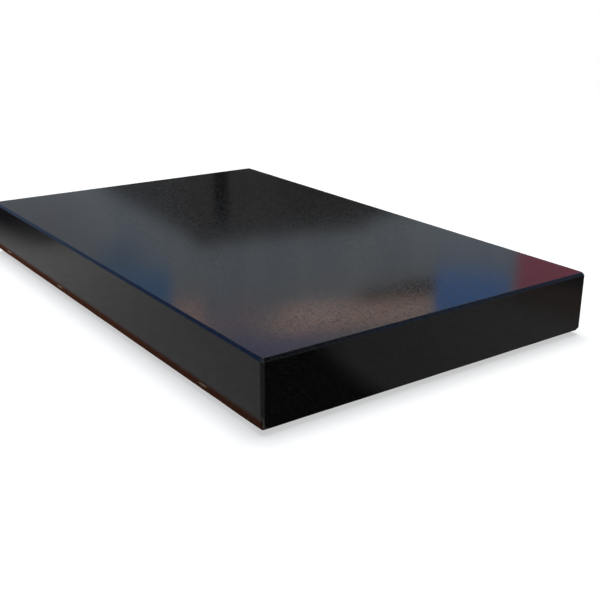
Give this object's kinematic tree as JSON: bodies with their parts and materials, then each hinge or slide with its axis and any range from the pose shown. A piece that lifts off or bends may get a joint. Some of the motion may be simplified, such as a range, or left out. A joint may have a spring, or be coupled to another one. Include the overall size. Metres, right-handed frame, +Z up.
{
  "type": "granite slab",
  "caption": "Thick chamfered block of black granite with a lapped working face, standing on stick-on rubber feet; a flat, heavy surface for tooling, punching and skiving leather.",
  "frame": {"origin": "on the surface that the slab stands on, under the middle of the slab", "axes": "+X along the slab's length, +Y across it, +Z up, out of the working face"},
  "size_m": [0.406, 0.254, 0.0435],
  "materials": {
    "black_granite": "satin",
    "adhesive_foam": "matte",
    "foot_rubber": "matte"
  },
  "bodies": {
    "root": {"granite_slab": "black_granite", "adhesive_front_left": "adhesive_foam", "adhesive_front_right": "adhesive_foam", "adhesive_back_left": "adhesive_foam", "adhesive_back_right": "adhesive_foam", "foot_front_left": "foot_rubber", "foot_front_right": "foot_rubber", "foot_back_left": "foot_rubber", "foot_back_right": "foot_rubber"}
  },
  "joints": []
}
